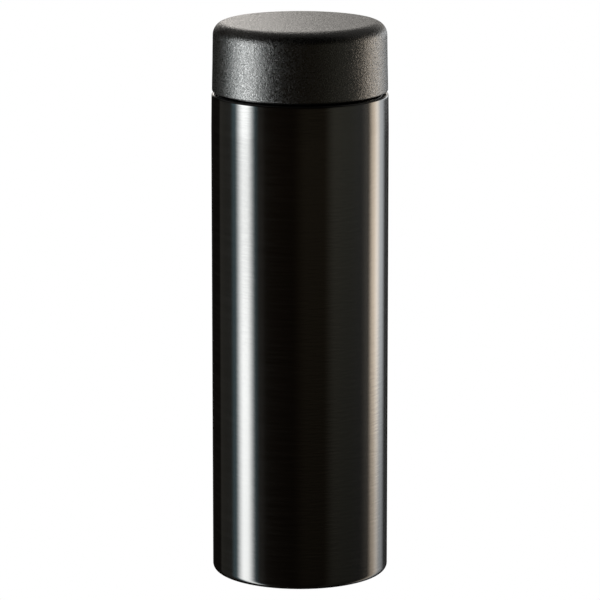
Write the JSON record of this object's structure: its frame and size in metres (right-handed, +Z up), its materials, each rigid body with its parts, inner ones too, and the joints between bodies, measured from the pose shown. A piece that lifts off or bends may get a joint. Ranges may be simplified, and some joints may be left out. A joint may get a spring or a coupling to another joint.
{
  "type": "vacuum flask",
  "caption": "Slim straight double-walled steel flask with a gloss body, a flat matte screw cap and a screw-off mouthpiece.",
  "frame": {"origin": "centre of the foot ring, on the surface the flask stands on", "axes": "+Z up along the axis of the body, towards the cap; +X and +Y are any two sides, because the body is round"},
  "size_m": [0.066, 0.066, 0.209],
  "materials": {
    "body_coat": "gloss",
    "steel": "satin",
    "seal_glass": "gloss",
    "adhesive_foam": "matte",
    "base_plastic": "satin",
    "copper_foil": "satin",
    "getter_metal": "matte",
    "mouthpiece_plastic": "satin",
    "silicone": "satin",
    "cap_plastic": "matte",
    "inner_cap_plastic": "satin",
    "insulating_foam": "matte"
  },
  "bodies": {
    "bottle": {"outer_shell": "body_coat", "outer_bottom": "steel", "port_seal": "seal_glass", "cover_adhesive": "adhesive_foam", "base_cover": "base_plastic", "inner_vessel": "steel", "inner_bottom": "steel", "foil_wrap": "copper_foil", "foil_disc": "copper_foil", "getter_clip": "steel", "getter": "getter_metal"},
    "mouthpiece_seal": {"mouthpiece_gasket": "silicone"},
    "mouthpiece_body": {"mouthpiece": "mouthpiece_plastic"},
    "cap_seal": {"cap_gasket": "silicone"},
    "cap": {"cap_shell": "cap_plastic", "cap_thread_sleeve": "inner_cap_plastic", "cap_plug": "inner_cap_plastic", "cap_foam": "insulating_foam"}
  },
  "joints": [
    {"name": "mouthpiece_lift", "type": "slide", "parent": "bottle", "child": "mouthpiece_seal", "axis": [0, 0, 1], "range_m": [0, 0.015]},
    {"name": "mouthpiece_turn", "type": "hinge", "parent": "mouthpiece_seal", "child": "mouthpiece_body", "pos_m": [0, 0, 0.1905], "axis": [0, 0, 1], "range_deg": [0, 1080]},
    {"name": "cap_lift", "type": "slide", "parent": "mouthpiece_body", "child": "cap_seal", "axis": [0, 0, 1], "range_m": [0, 0.024]},
    {"name": "cap_turn", "type": "hinge", "parent": "cap_seal", "child": "cap", "pos_m": [0, 0, 0.1945], "axis": [0, 0, 1], "range_deg": [0, 1080]}
  ],
  "couplings": [
    {"joint": "mouthpiece_lift", "follows": "mouthpiece_turn", "m_per_rad": 0.00079577},
    {"joint": "cap_lift", "follows": "cap_turn", "m_per_rad": 0.0012732}
  ]
}
